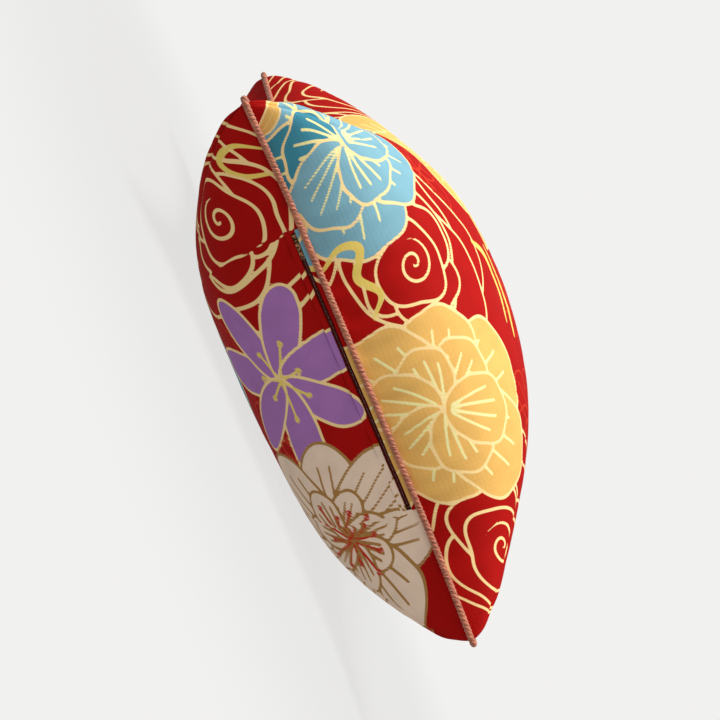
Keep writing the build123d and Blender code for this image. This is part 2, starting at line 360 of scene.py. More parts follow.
@dataclass(frozen=True)
class Form:
    """The filled pillow's shape, in millimetres, over the seam's plane."""

    half_span: float = 206.0
    side_pull_in: float = 48.0
    zip_side_pull_in: float = 40.0
    side_bow: float = 2.42
    corner_easing: float = 0.45
    zip_half: float = 108.0  # half the length of the slit
    seam_squareness: float = 2.8
    corner_softness: float = 0.002
    flat_size: float = 450.0
    insert_inset: float = 9.5  # of the insert's seam from the cover's

    @property
    def seam_height(self) -> float:
        """Height of the seam's plane over the base, from the frame."""
        low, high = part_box("piping_tape")
        return (low[2] + high[2]) / 2 / MM

    @property
    def zip_wall(self) -> float:
        """From the middle to the face of the side with the zip."""
        return self.half_span - self.zip_side_pull_in

    def drawn_in(self, along: Array, depth: float, straight: float) -> Array:
        """How far a side is pulled in.

        Args:
            along: Places along the side, from -1 to 1.
            depth: The most that it is pulled in.
            straight: The share of the side about its middle that is straight.

        Returns:
            The distances.
        """
        rest = np.maximum(0.0, (np.abs(along) - straight) / (1 - straight))
        return depth * (1 - rest**self.side_bow * (1 + self.corner_easing * (1 - rest**2)))

    def plan(self, across: Array, along: Array, inset: float = 0.0) -> tuple[Array, Array]:
        """The plan's x and y for shares of the half span.

        Args:
            across: Shares to the right, from -1 to 1.
            along: Shares up the print, from -1 to 1.
            inset: How far inside the outline the shares end.

        Returns:
            x and y.
        """
        plain = self.drawn_in(along, self.side_pull_in, 0.0)
        zipped = self.drawn_in(along, self.zip_side_pull_in, self.zip_half / self.half_span)
        x_depth = np.where(across < 0, zipped, plain)
        y_depth = self.drawn_in(across, self.side_pull_in, 0.0)
        return across * (self.half_span - x_depth - inset), along * (self.half_span - y_depth - inset)

    def corner_ease(self, across: Array, along: Array) -> Array:
        """How much a square's shares shrink to end at the seam, whose corners are rounded.

        Args:
            across: Shares to the right, from -1 to 1.
            along: Shares up the print, from -1 to 1.

        Returns:
            The factor for each place.
        """
        longer = np.maximum(np.maximum(np.abs(across), np.abs(along)), 1e-9)
        slant = np.minimum(np.abs(across), np.abs(along)) / longer
        low, high = np.full_like(slant, 0.9), np.ones_like(slant)
        for _ in range(20):
            tried = (low + high) / 2
            room = (1 - tried**self.seam_squareness) * (1 - (tried * slant) ** self.seam_squareness)
            inside = room > self.corner_softness
            low, high = np.where(inside, tried, low), np.where(inside, high, tried)
        return low

    def seam_route(self, outset: float, spacing: float) -> Array:
        """A closed line round the seam.

        Args:
            outset: How far it lies outside the seam.
            spacing: About how far apart its points are.

        Returns:
            Points in x and y, evenly spaced.
        """
        shape = self.seam_squareness
        corner = (1 - self.corner_softness**0.5) ** (1 / shape)
        along = corner * np.sin(np.linspace(0, math.pi / 2, 160))
        across = (1 - self.corner_softness / (1 - along**shape)) ** (1 / shape)
        quarter = np.concatenate([np.stack([across, along], 1), np.stack([along, across], 1)[-2:0:-1]])
        shares = [quarter]
        for _ in range(3):
            quarter = np.stack([-quarter[:, 1], quarter[:, 0]], 1)
            shares.append(quarter)
        ring = np.stack(self.plan(*np.concatenate(shares).T), 1)
        ahead, behind = np.roll(ring, -1, 0), np.roll(ring, 1, 0)
        run = ahead - behind
        run /= np.linalg.norm(run, axis=1, keepdims=True)
        ring = ring + outset * np.stack([run[:, 1], -run[:, 0]], 1)
        closed = np.vstack([ring, ring[:1]])
        reach = np.concatenate([[0], np.cumsum(np.linalg.norm(np.diff(closed, axis=0), axis=1))])
        count = int(reach[-1] / spacing)
        stops = np.linspace(0, reach[-1], count, endpoint=False)
        line = np.stack([np.interp(stops, reach, closed[:, axis]) for axis in (0, 1)], 1)
        for _ in range(2):
            line = (np.roll(line, 1, 0) + 2 * line + np.roll(line, -1, 0)) / 4
        return line


FORM = Form()


def new_piece(name: str, points: Array, faces: Array, finish: bpy.types.Material) -> bpy.types.Object:
    """Make a mesh piece from points in millimetres.

    Args:
        name: The piece's name.
        points: Its vertices.
        faces: Rows of four vertex numbers.
        finish: Its material.

    Returns:
        The object, at the origin, shaded smooth.
    """
    mesh = bpy.data.meshes.new(name)
    mesh.vertices.add(len(points))
    mesh.vertices.foreach_set("co", (points * MM).astype(np.float32).ravel())
    mesh.loops.add(faces.size)
    mesh.loops.foreach_set("vertex_index", faces.astype(np.int32).ravel())
    mesh.polygons.add(len(faces))
    mesh.polygons.foreach_set("loop_start", np.arange(0, faces.size, faces.shape[1], dtype=np.int32))
    mesh.update(calc_edges=True)
    mesh.validate()
    mesh.shade_smooth()
    mesh.materials.append(finish)
    piece = bpy.data.objects.new(name, mesh)
    bpy.context.scene.collection.objects.link(piece)
    log.info("%s: %d faces", name, len(faces))
    return piece


def grid_faces(rows: int, columns: int, wrap: bool = False, flip: bool = False) -> Array:
    """Quads over a grid of vertices.

    Args:
        rows: Vertices down the grid.
        columns: Vertices across it.
        wrap: Whether the last column joins the first.
        flip: Whether the faces turn the other way.

    Returns:
        Rows of four vertex numbers.
    """
    row = np.arange(rows - 1)[:, None]
    column = np.arange(columns if wrap else columns - 1)[None, :]
    after = (column + 1) % columns
    corners = [row * columns + column, row * columns + after,
               (row + 1) * columns + after, (row + 1) * columns + column]
    if flip:
        corners.reverse()
    return np.stack([corner.ravel() for corner in corners], 1)


def give(piece: bpy.types.Object, name: str, kind: str, values: Array) -> None:
    """Store one attribute for each vertex.

    Args:
        piece: The piece.
        name: The attribute's name.
        kind: FLOAT, FLOAT_VECTOR or FLOAT_COLOR.
        values: One number or row for each vertex.
    """
    attribute = piece.data.attributes.new(name, kind, "POINT")
    key = {"FLOAT": "value", "FLOAT_VECTOR": "vector", "FLOAT_COLOR": "color"}[kind]
    if kind == "FLOAT_COLOR":
        values = np.concatenate([values, np.ones((len(values), 1))], 1)
    attribute.data.foreach_set(key, values.astype(np.float32).ravel())


# --- the print ----------------------------------------------------------------------------


@dataclass(frozen=True)
class FlowerStyle:
    """How a kind of flower is drawn."""

    fills: tuple[Dye, ...]
    petals: int = 6
    rings: tuple[float, ...] = (1.0, 0.66)
    breadth: float = 0.9  # of a petal, as a share of its length
    belly: float = 0.6  # how far up a petal its widest place is
    ruffle: float = 0.035
    ruffles: int = 9
    ink: Dye = Dye.GOLD
    line: float = 2.3
    veins: int = 3
    vein: float = 2.1
    vein_ink: Dye = Dye.CREAM
    heart: Dye = Dye.STRAW
    stamens: int = 9
    stamen: float = 2.1
    bead: float = 1.9


BARE = 20.0  # distance to the nearest line, where there is none
PEONY = FlowerStyle((Dye.SKY, Dye.SKY, Dye.TEAL, Dye.SKY, Dye.SKY), petals=5, breadth=1.05, ruffle=0.05,
                    veins=5, stamens=0)
DAHLIA = FlowerStyle((Dye.OCHRE,), veins=4, vein=2.2, stamens=0)
LILY = FlowerStyle((Dye.MAUVE,), petals=7, rings=(1.0,), breadth=0.4, ruffle=0.0, veins=0, stamens=7)
LOTUS = FlowerStyle((Dye.SHELL,), petals=7, rings=(1.0, 0.5), breadth=0.66, ruffle=0.02, veins=4,
                    ink=Dye.BROWN, vein_ink=Dye.BROWN, heart=Dye.CORAL, stamens=12)
FAINT = FlowerStyle((Dye.CORAL,), petals=5, breadth=0.8, ruffle=0.03, veins=1, line=1.8, vein=1.8,
                    ink=Dye.CORAL, vein_ink=Dye.CORAL)


class Print:
    """A print painted on flat cloth, at chosen points of it, in millimetres."""

    def __init__(self, x: Array, y: Array, ground: Dye) -> None:
        """Start with bare cloth.

        Args:
            x: Places to the right on the flat cloth.
            y: Places up it.
            ground: The cloth's own colour.
        """
        self.x, self.y = x, y
        self.fill = np.tile(np.array(ground.value), (len(x), 1))
        self.ink = np.tile(np.array(Dye.GOLD.value), (len(x), 1))
        self.line = np.full(len(x), BARE)

    def turned(self, middle: tuple[float, float], angle: float) -> tuple[Array, Array]:
        """The cloth's places seen from a point and a direction.

        Args:
            middle: The point.
            angle: The direction, in degrees.

        Returns:
            How far each place lies along the direction and to its left.
        """
        turn = math.radians(angle)
        x, y = self.x - middle[0], self.y - middle[1]
        return (x * math.cos(turn) + y * math.sin(turn), y * math.cos(turn) - x * math.sin(turn))

    def shape(self, distance: Array, fill: Dye | None, ink: Dye, width: float) -> Array:
        """Lay a filled shape with an outline over what is there.

        Args:
            distance: Distance from the shape's edge, less than 0 inside.
            fill: Its colour, or None to leave what is under it.
            ink: The outline's colour.
            width: The outline's width.

        Returns:
            Which points are inside.
        """
        inside = distance < 0
        edge = np.abs(distance) - width / 2
        if fill is not None:
            self.fill[inside] = fill.value
            self.line[inside] = BARE
        nearer = edge < self.line
        self.line[nearer] = edge[nearer]
        self.ink[nearer] = ink.value
        return inside

    def stroke(self, distance: Array, width: Array | float, ink: Dye, within: Array | None = None) -> None:
        """Draw a brush stroke.

        Args:
            distance: Distance from the stroke's middle line.
            width: Its width, which may change along it.
            ink: Its colour.
            within: The points that it may cover.
        """
        edge = distance - width / 2
        nearer = edge < self.line
        if within is not None:
            nearer &= within
        self.line = np.where(nearer, edge, self.line)
        self.ink[nearer] = ink.value

    def away(self, middle: tuple[float, float]) -> Array:
        """Distance from a point."""
        return np.hypot(self.x - middle[0], self.y - middle[1])

    def round_form(self, middle: tuple[float, float], radius: float, turn: float, line: float) -> None:
        """A rounded form with a wavy rim, outlined in gold on the red ground.

        Args:
            middle: Its middle.
            radius: Its mean radius.
            turn: How far it is turned, in degrees.
            line: Its outline's width.
        """
        along, side = self.turned(middle, turn)
        heading = np.arctan2(side, along)
        rim, slope = np.ones_like(heading), np.zeros_like(heading)
        for count, depth in ((3, 0.08), (5, 0.04)):
            rim += depth * np.sin(count * heading + count)
            slope += depth * count * np.cos(count * heading + count)
        distance = (np.hypot(along, side) - radius * rim) / np.sqrt(1 + (slope / rim) ** 2)
        self.shape(distance, Dye.RED, Dye.GOLD, line)

    def petal(self, root: tuple[float, float], angle: float, length: float, width: float,
              style: FlowerStyle, fill: Dye | None) -> None:
        """One petal that grows from its root.

        Args:
            root: Where it starts.
            angle: The way it points, in degrees.
            length: Its length.
            width: Its width at the widest.
            style: How it is drawn.
            fill: Its colour.
        """
        along, side = self.turned(root, angle)
        share = np.clip(along / length, 0, 1)
        lift = along / length - style.belly
        half = np.where(lift > 0, 1 - style.belly, style.belly)
        away = np.hypot(lift / half, side / (width / 2))
        rim = np.arctan2(side, along - length * 0.3)
        away = away - style.ruffle * np.cos(rim * style.ruffles) * share
        slope = np.hypot(lift / half**2 / length, side / (width / 2) ** 2) / np.maximum(away, 0.2)
        edge = (away - 1) / np.maximum(slope, 0.5 / length)
        inside = self.shape(edge, fill, style.ink, style.line)
        for vein in range(style.veins):
            lean = (vein - (style.veins - 1) / 2) / style.veins
            bend = np.abs(side - lean * width * 0.9 * np.sin(share * math.pi * 0.55))
            reach = 0.84 - 0.55 * abs(lean)
            past = np.maximum(along - length * reach, 0) + np.maximum(length * 0.1 - along, 0)
            thick = style.vein * (1.15 - 0.3 * share)
            self.stroke(np.hypot(bend, past), thick, style.vein_ink, inside)

    def flower(self, middle: tuple[float, float], radius: float, style: FlowerStyle, turn: float) -> None:
        """A large open flower.

        Args:
            middle: Its middle.
            radius: How far its petals reach.
            style: How it is drawn.
            turn: How far it is turned, in degrees.
        """
        for ring, reach in enumerate(style.rings):
            for number in range(style.petals):
                angle = turn + 360 / style.petals * (number + 0.5 * ring)
                size = radius * reach * (1 + 0.1 * math.sin(number * 2.4 + ring + turn))
                fill = style.fills[(number + ring) % len(style.fills)]
                self.petal(middle, angle, size, size * style.breadth, style, fill)
        for number in range(style.stamens):
            angle = math.radians(360 / style.stamens * number + turn)
            size = radius * (0.24 + 0.07 * (number % 3))
            bead = (middle[0] + size * math.cos(angle), middle[1] + size * math.sin(angle))
            along, side = self.turned(middle, math.degrees(angle))
            past = np.maximum(along - size, 0) + np.maximum(-along, 0)
            self.stroke(np.hypot(side, past), style.stamen, style.heart)
            self.shape(self.away(bead) - style.bead, style.heart, style.heart, 1.2)

    def rose(self, middle: tuple[float, float], radius: float, turn: float, line: float = 2.3) -> None:
        """A full rose in line work, with loose petals folded round a spiral heart.

        Args:
            middle: Its middle.
            radius: How far its petals reach.
            turn: How far it is turned, in degrees.
            line: The lines' width.
        """
        # each ring's size, its shift from the middle and how many petals share it
        rings = ((1.0, 0.0, 1), (0.66, 0.3, 3), (0.64, 0.08, 1), (0.4, 0.2, 3), (0.38, 0.02, 1))
        for ring, (size, shift, folds) in enumerate(rings):
            for fold in range(folds):
                angle = turn + 47 * ring + 360 / folds * fold
                heading = math.radians(angle)
                spot = (middle[0] + radius * shift * math.cos(heading),
                        middle[1] + radius * shift * math.sin(heading))
                self.round_form(spot, radius * size, angle + 31 * ring, line)
        along, side = self.turned(middle, turn)
        reach, heading = np.hypot(along, side), np.arctan2(side, along)
        pitch = radius * 0.14
        coil = np.abs((reach - heading / math.tau * pitch) % pitch - pitch / 2)
        fading = 2.5 * np.maximum(reach - radius * 0.22, 0)
        self.stroke(coil + fading, line, Dye.GOLD, reach < radius * 0.34)

    def blossom(self, middle: tuple[float, float], radius: float, turn: float) -> None:
        """A small five-petalled blossom, in faint line only.

        Args:
            middle: Its middle.
            radius: How far its petals reach.
            turn: How far it is turned, in degrees.
        """
        for number in range(FAINT.petals):
            angle = turn + 360 / FAINT.petals * number
            self.petal(middle, angle, radius, radius * FAINT.breadth, FAINT, None)

    def ribbon(self, route: Sequence[tuple[float, float]], width: float, ink: Dye) -> None:
        """A stroke along a smooth route that swells in its middle.

        Args:
            route: Points that the stroke passes.
            width: Its width where it is widest.
            ink: Its colour.
        """
        spots = np.array(route, float)
        ends = np.vstack([2 * spots[0] - spots[1], spots, 2 * spots[-1] - spots[-2]])
        steps = np.linspace(0, 1, 9)[:-1]
        line = []
        for a, b, c, d in zip(ends, ends[1:], ends[2:], ends[3:]):
            for t in steps:
                line.append(0.5 * (2 * b + (c - a) * t + (2 * a - 5 * b + 4 * c - d) * t**2
                                   + (3 * b - a - 3 * c + d) * t**3))
        line.append(spots[-1])
        count = len(line) - 1
        best, thick = np.full(len(self.x), 1e3), np.zeros(len(self.x))
        for number, (start, end) in enumerate(zip(line, line[1:])):
            run = end - start
            share = ((self.x - start[0]) * run[0] + (self.y - start[1]) * run[1]) / max(run @ run, 1e-9)
            share = np.clip(share, 0, 1)
            gap = np.hypot(self.x - start[0] - share * run[0], self.y - start[1] - share * run[1])
            swell = width * (0.35 + 0.65 * np.sin(math.pi * (number + share) / count))
            nearer = gap - swell / 2 < best - thick / 2
            best, thick = np.where(nearer, gap, best), np.where(nearer, swell, thick)
        self.stroke(best, thick, ink)

    def leaf(self, root: tuple[float, float], angle: float, length: float, fill: Dye, ink: Dye) -> None:
        """A pointed leaf with a midrib.

        Args:
            root: Where it starts.
            angle: The way it points, in degrees.
            length: Its length.
            fill: Its colour.
            ink: Its outline's and midrib's colour.
        """
        along, side = self.turned(root, angle)
        share = np.clip(along / length, 0, 1)
        half = length * 0.19 * np.sin(math.pi * share**0.8)
        edge = np.where((along > 0) & (along < length), np.abs(side) - half, np.hypot(
            np.abs(side), np.maximum(-along, along - length)))
        inside = self.shape(edge, fill, ink, 2.0)
        self.stroke(np.abs(side), 1.4 * (1 - share * 0.7), ink, inside)

    def onto(self, piece: bpy.types.Object) -> None:
        """Store the print on a piece.

        Args:
            piece: The piece, with a vertex for each point.
        """
        give(piece, "print_fill", "FLOAT_COLOR", self.fill)
        give(piece, "print_ink", "FLOAT_COLOR", self.ink)
        give(piece, "print_line", "FLOAT", self.line)
        give(piece, "cloth", "FLOAT_VECTOR", np.stack([self.x, self.y, 0 * self.x], 1) * MM)


def front_print(x: Array, y: Array) -> Print:
    """Paint the front panel's print.

    Args:
        x: Places to the right on the flat cloth.
        y: Places up it.

    Returns:
        The print at those places.
    """
    art = Print(x, y, Dye.RED)
    for spot, size, turn in (((-96, 104), 38, 10), ((-80, -96), 40, 40), ((20, 196), 34, 5),
                             ((-20, -10), 36, 30), ((160, 60), 40, 12), ((40, -205), 34, 50)):
        art.blossom(spot, size, turn)
    art.leaf((-60, 170), 195, 70, Dye.TEAL, Dye.GOLD)
    art.leaf((130, -70), 150, 90, Dye.OCHRE, Dye.GOLD)
    art.leaf((20, 20), 60, 90, Dye.TEAL, Dye.GOLD)
    art.rose((-160, 50), 76, 24)
    art.rose((-176, -158), 80, 75)
    art.rose((150, 165), 84, 40)
    art.rose((70, -80), 80, 10)
    art.flower((-172, 148), 80, PEONY, 40)
    art.flower((-182, -50), 78, DAHLIA, 8)
    art.flower((30, 96), 82, DAHLIA, 0)
    art.flower((168, -20), 80, PEONY, 20)
    art.flower((-50, -165), 74, LILY, 12)
    art.flower((150, -180), 78, LOTUS, 30)
    art.leaf((-228, 196), 20, 36, Dye.OCHRE, Dye.GOLD)
    art.ribbon([(-225, 78), (-208, 88), (-194, 80), (-203, 62), (-192, 44), (-203, 30)], 6.5, Dye.STRAW)
    art.ribbon([(-78, 40), (-56, 24), (-44, -4), (-60, -26)], 9, Dye.STRAW)
    art.ribbon([(-40, 30), (-22, 8), (-30, -20), (-52, -40)], 8, Dye.STRAW)
    return art


def back_print(x: Array, y: Array) -> Print:
    """Paint the back panel's print.

    Args:
        x: Places to the right on the flat cloth, seen from the front.
        y: Places up it.

    Returns:
        The print at those places.
    """
    art = Print(x, y, Dye.RED)
    for spot, size, turn in (((-158, 62), 34, 10), ((-140, -32), 38, 40), ((0, 150), 34, 0),
                             ((30, -20), 36, 30), ((150, 60), 36, 15), ((-20, -170), 34, 50)):
        art.blossom(spot, size, turn)
    art.leaf((-60, 110), 10, 90, Dye.TEAL, Dye.GOLD)
    art.leaf((-40, -60), 320, 95, Dye.OCHRE, Dye.GOLD)
    art.leaf((90, 40), 100, 90, Dye.SKY, Dye.GOLD)
    art.rose((-170, 128), 78, 30, 2.8)
    art.rose((110, 150), 84, 10)
    art.rose((10, -120), 84, 50)
    art.flower((-172, 10), 76, LILY, 14)
    art.leaf((-190, -212), 70, 60, Dye.BRICK, Dye.BROWN)
    art.flower((-168, -112), 78, LOTUS, 100)
    art.flower((-20, 40), 80, PEONY, 14)
    art.flower((150, -30), 84, DAHLIA, 0)
    art.flower((130, -170), 76, LOTUS, 0)
    art.flower((-20, 190), 60, LILY, 0)
    art.ribbon([(-228, 184), (-204, 186), (-190, 172), (-204, 160), (-228, 164)], 5, Dye.STRAW)
    return art


# --- cloth panels -------------------------------------------------------------------------


Painter = Callable[[Array, Array], Print]


@dataclass
class Panel:
    """One crowned panel of the pillow, from seam to seam."""

    name: str
    node: str
    rise: int  # 1 for a front, -1 for a back
    crown: float  # height of its middle over the seam
    squareness: float
    fullness: float
    cells: int = 312
    inset: float = 0.0
    slit: float = 0.0  # how far down from the seam the zip's side is cut away
    pucker: float = 1.0
    seed: int = 3
    slit_end: float = 2.0  # how far from each end the cut reaches its full depth
    gather_lengths: tuple[float, ...] = (34.0, 21.0, 13.5)
    gather_drift: float = 47.0
    swells: int = 5
    swell_depth: float = 0.9

    def shares(self) -> tuple[Array, Array]:
        """Shares across and along at each vertex, closer together towards the seam.

        Returns:
            Two grids of shares from -1 to 1.
        """
        fine = np.linspace(0, 1, 4001) ** 0.5
        rise = self.crown * (1 - fine**self.squareness) ** self.fullness
        half_width = FORM.half_span - FORM.side_pull_in
        reach = np.insert(np.cumsum(np.hypot(np.diff(fine) * half_width, np.diff(rise))), 0, 0)
        stops = np.interp(np.linspace(0, reach[-1], self.cells // 2 + 1), reach, fine)
        run = np.concatenate([-stops[:0:-1], stops])
        across, along = np.meshgrid(run, run, indexing="ij")
        if self.slit:
            _, y = FORM.plan(across, along)
            ends = np.clip((FORM.zip_half - np.abs(y)) / self.slit_end, 0, 1)
            drop = self.slit * ends * ends * (3 - 2 * ends) / self.crown
            left = np.maximum(1 - np.abs(along) ** self.squareness, 1e-6)
            gone = np.clip(drop ** (1 / self.fullness) / left, 0, 0.5)
            start = (1 - gone) ** (1 / self.squareness)
            across = np.where(across < 0, across * start, across)
        return across, along

    def points(self) -> Array:
        """The panel's vertices, row by row.

        Returns:
            An array of rows, columns and x, y, z in millimetres.
        """
        across, along = self.shares()
        ease = FORM.corner_ease(across, along)
        x, y = FORM.plan(across * ease, along * ease, self.inset)
        room = (1 - np.abs(across) ** self.squareness) * (1 - np.abs(along) ** self.squareness)
        height = self.crown * np.clip(room, 0, 1) ** self.fullness
        from_edge = np.minimum(height, 60.0)
        wobble = self.gathers(x, y, from_edge) * self.pucker
        slope = np.clip(1 - height / self.crown, 0, 1)
        reach = np.maximum(np.hypot(x, y), 1.0)
        z = FORM.seam_height + self.rise * (height + wobble * (1 - slope) ** 0.5)
        x = x + wobble * slope * x / reach
        y = y + wobble * slope * y / reach
        return np.stack([x, y, np.maximum(z, 0.15)], -1)

    def gathers(self, x: Array, y: Array, from_edge: Array) -> Array:
        """Small puckers along the seam and slow swells over the panel.

        Args:
            x: Places in the plan, across.
            y: Places in the plan, along.
            from_edge: How high each place stands over the seam.

        Returns:
            How far each place stands out.
        """
        rng = np.random.default_rng(self.seed)
        total = np.zeros_like(x)
        fade = (1 - np.exp(-from_edge / 5.0)) * np.exp(-from_edge / 22.0)
        for wave in self.gather_lengths:
            phase = rng.uniform(0, PHASES, 4)
            drift_y = 1.6 * np.sin(y / self.gather_drift + phase[1])
            drift_x = 1.6 * np.sin(x / self.gather_drift + phase[3])
            along_y = np.sin(y * FULL_TURN / wave + phase[0] + drift_y)
            along_x = np.sin(x * FULL_TURN / wave + phase[2] + drift_x)
            steep = np.abs(x) > np.abs(y)
            total += np.where(steep, along_y, along_x) * fade * wave / 28.0
        inside = 1 - np.exp(-from_edge / 20.0)
        for _ in range(self.swells):
            turn, size, phase = rng.uniform(0, HEADINGS), rng.uniform(90, 190), rng.uniform(0, PHASES)
            run = x * math.cos(turn) + y * math.sin(turn)
            total += inside * self.swell_depth * np.sin(run * FULL_TURN / size + phase)
        return total

    def flat_places(self, points: Array) -> tuple[Array, Array]:
        """Where each vertex lies on the flat cloth, from lengths measured over the panel.

        Args:
            points: The panel's vertices.

        Returns:
            x and y on the flat cloth, from minus to plus half its size.
        """
        places = []
        for axis in (0, 1):
            gaps = np.linalg.norm(np.diff(points, axis=axis), axis=-1)
            reach = np.cumsum(gaps, axis=axis)
            reach = np.insert(reach, 0, 0, axis=axis)
            whole = np.maximum(np.take(reach, [-1], axis=axis), 1e-6)
            places.append(FORM.flat_size * (reach / whole - 0.5))
        return places[0].ravel(), places[1].ravel()

    def build(self, finish: bpy.types.Material, paint: Painter | None) -> bpy.types.Object:
        """Make the panel in place of its CAD solid.

        Args:
            finish: Its material.
            paint: What paints its print, if it has one.

        Returns:
            The piece.
        """
        points = self.points()
        count = self.cells + 1
        faces = grid_faces(count, count, flip=self.rise > 0)
        piece = new_piece(self.name, points.reshape(-1, 3), faces, finish)
        if paint:
            paint(*self.flat_places(points)).onto(piece)
        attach(piece, "root")
        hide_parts(self.node)
        return piece


@dataclass
class Cover:
    """The printed cover: two panels sewn together round the piping."""

    cloth: bpy.types.Material

    def build(self) -> list[bpy.types.Object]:
        """Make both panels.

        Returns:
            The front and the back panel.
        """
        front = Panel("front_panel", "cover_front_panel", 1, 117.0, 2.2, 0.374, seed=5)
        back = Panel("back_panel", "cover_back_panel", -1, 94.0, 3.53, 0.385, slit=9.4, seed=11)
        pieces = [front.build(self.cloth, front_print), back.build(self.cloth, back_print)]
        return pieces


@dataclass
class Insert:
    """The plain insert: two thin panels round the fibre."""

    cloth: bpy.types.Material
    fibre: bpy.types.Material
    cells: int = 96
    filling_inset: float = 10.6

    def build(self) -> None:
        """Make the panels and the filling."""
        layers = (
            ("insert_front", "insert_front_panel", 1, 111.0, 2.2),
            ("insert_back", "insert_back_panel", -1, 89.5, 3.5),
        )
        inset = FORM.insert_inset
        for name, node, rise, crown, squareness in layers:
            panel = Panel(name, node, rise, crown, squareness, 0.39, self.cells, inset, pucker=0.0)
            piece = panel.build(self.cloth, None)
        self.filling()

    def filling(self) -> bpy.types.Object:
        """One closed body of fibre.

        Returns:
            The piece.
        """
        halves = []
        for rise, crown, squareness in ((1, 109.6, 2.2), (-1, 88.0, 3.5)):
            half = Panel("half", "", rise, crown, squareness, 0.4, self.cells, self.filling_inset, pucker=0.0)
            halves.append(half.points().reshape(-1, 3))
        count = self.cells + 1
        faces = np.vstack([grid_faces(count, count, flip=True), grid_faces(count, count) + count * count])
        piece = new_piece("filling", np.vstack(halves), faces, self.fibre)
        bpy.ops.object.select_all(action="DESELECT")
        bpy.context.view_layer.objects.active = piece
        piece.select_set(True)
        bpy.ops.object.mode_set(mode="EDIT")
        bpy.ops.mesh.select_all(action="SELECT")
        bpy.ops.mesh.remove_doubles(threshold=0.02 * MM)
        bpy.ops.mesh.normals_make_consistent(inside=False)
        bpy.ops.object.mode_set(mode="OBJECT")
        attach(piece, "root")
        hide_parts("fibre_filling")
        return piece


# --- piping -------------------------------------------------------------------------------


@dataclass
class Piping:
    """The twisted cord round the seam."""

    cord_radius: float = 2.5
    gap: float = 0.5
    plies: int = 3
    pitch: float = 10.5
    ply_radius: float = 1.38
    sides: int = 9
    spacing: float = 1.05
    fibre_stretch: float = 0.25
    fibre_spread: float = 3.0
    ply_shift: float = 31.0  # between the plies' places in the yarn's noise

    def build(self, finish: bpy.types.Material) -> bpy.types.Object:
        """Twist the plies round the seam.

        Args:
            finish: The yarn.

        Returns:
            The piece.
        """
        route = FORM.seam_route(self.gap + self.cord_radius, self.spacing)
        count = len(route)
        run = np.roll(route, -1, 0) - np.roll(route, 1, 0)
        run /= np.linalg.norm(run, axis=1, keepdims=True)
        out = np.stack([run[:, 1], -run[:, 0]], 1)
        step = np.linalg.norm(np.roll(route, -1, 0) - route, axis=1)
        reach = np.concatenate([[0], np.cumsum(step)])
        turns = round(reach[-1] / self.pitch)
        twist = math.tau * turns * reach[:-1] / reach[-1]
        orbit = self.cord_radius - self.ply_radius
        middle = np.column_stack([route, np.full(count, FORM.seam_height)])
        outward = np.column_stack([out, np.zeros(count)])
        up = np.array([0.0, 0.0, 1.0])
        points, faces, strand = [], [], []
        for ply in range(self.plies):
            angle = twist + math.tau * ply / self.plies
            core = middle + orbit * (np.cos(angle)[:, None] * outward + np.sin(angle)[:, None] * up)
            heading = np.roll(core, -1, 0) - np.roll(core, 1, 0)
            heading /= np.linalg.norm(heading, axis=1, keepdims=True)
            radial = np.cos(angle)[:, None] * outward + np.sin(angle)[:, None] * up
            side = np.cross(heading, radial)
            side /= np.linalg.norm(side, axis=1, keepdims=True)
            radial = np.cross(side, heading)
            for number in range(self.sides):
                around = math.tau * number / self.sides
                points.append(core + self.ply_radius * (math.cos(around) * radial + math.sin(around) * side))
                lay = around + twist * 0.5
                strand.append(np.column_stack([
                    reach[:-1] * self.fibre_stretch + ply * self.ply_shift,
                    self.fibre_spread * np.cos(lay), self.fibre_spread * np.sin(lay)]))
            start = ply * self.sides * count
            grid = np.arange(self.sides * count).reshape(self.sides, count) + start
            beside, ahead = np.roll(grid, -1, 0), np.roll(grid, -1, 1)
            corner = np.roll(beside, -1, 1)
            faces.append(np.stack([grid.ravel(), ahead.ravel(), corner.ravel(), beside.ravel()], 1))
        piece = new_piece("piping", np.vstack(points), np.vstack(faces), finish)
        give(piece, "strand", "FLOAT_VECTOR", np.vstack(strand))
        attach(piece, "root")
        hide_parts("piping_cord")
        log.info("piping: %d turns in %.0f mm", turns, reach[-1])
        return piece


# --- zip ----------------------------------------------------------------------------------


@dataclass(frozen=True)
class Fold:
    """The section of a folded strip: along its outer face, round the fold and along its inner face.

    Heights go down from the seam, and widths go out of the pillow's side, in millimetres.
    """

    outer_edge: float
    crease: float
    inner_edge: float
    middle: float
    half_width: float
    bulge: float
    outer_share: float
    inner_share: float
    wave: float
    quick_wave: float = 4.3
    drift: float = 31.0
    slow_wave: float = 11.0

    def section(self, share: Array) -> tuple[Array, Array]:
        """The plain section, without waves.

        Args:
            share: Shares along the section.

        Returns:
            How far out and how far down each lies.
        """
        turn = np.clip((share - self.outer_share) / (self.inner_share - self.outer_share), 0, 1) * math.pi
        outer = self.outer_edge + share / self.outer_share * (self.crease - self.outer_edge)
        past = (share - self.inner_share) / (1 - self.inner_share)
        inner = self.crease + past * (self.inner_edge - self.crease)
        down = np.where(share < self.outer_share, outer, self.crease + self.bulge * np.sin(turn))
        return self.middle + self.half_width * np.cos(turn), np.where(share > self.inner_share, inner, down)

    def wander(self, share: Array, y: Array) -> Array:
        """How far the cloth strays, most at the fold and not at all at its edges.

        Args:
            share: Shares along the section.
            y: Places along the slit.

        Returns:
            The distances.
        """
        quick = np.sin(y / self.quick_wave + 2 * np.sin(y / self.drift))
        slow = np.sin(y / self.slow_wave + 1.0)
        return self.wave * (quick * 0.6 + slow) * np.sin(math.pi * share)


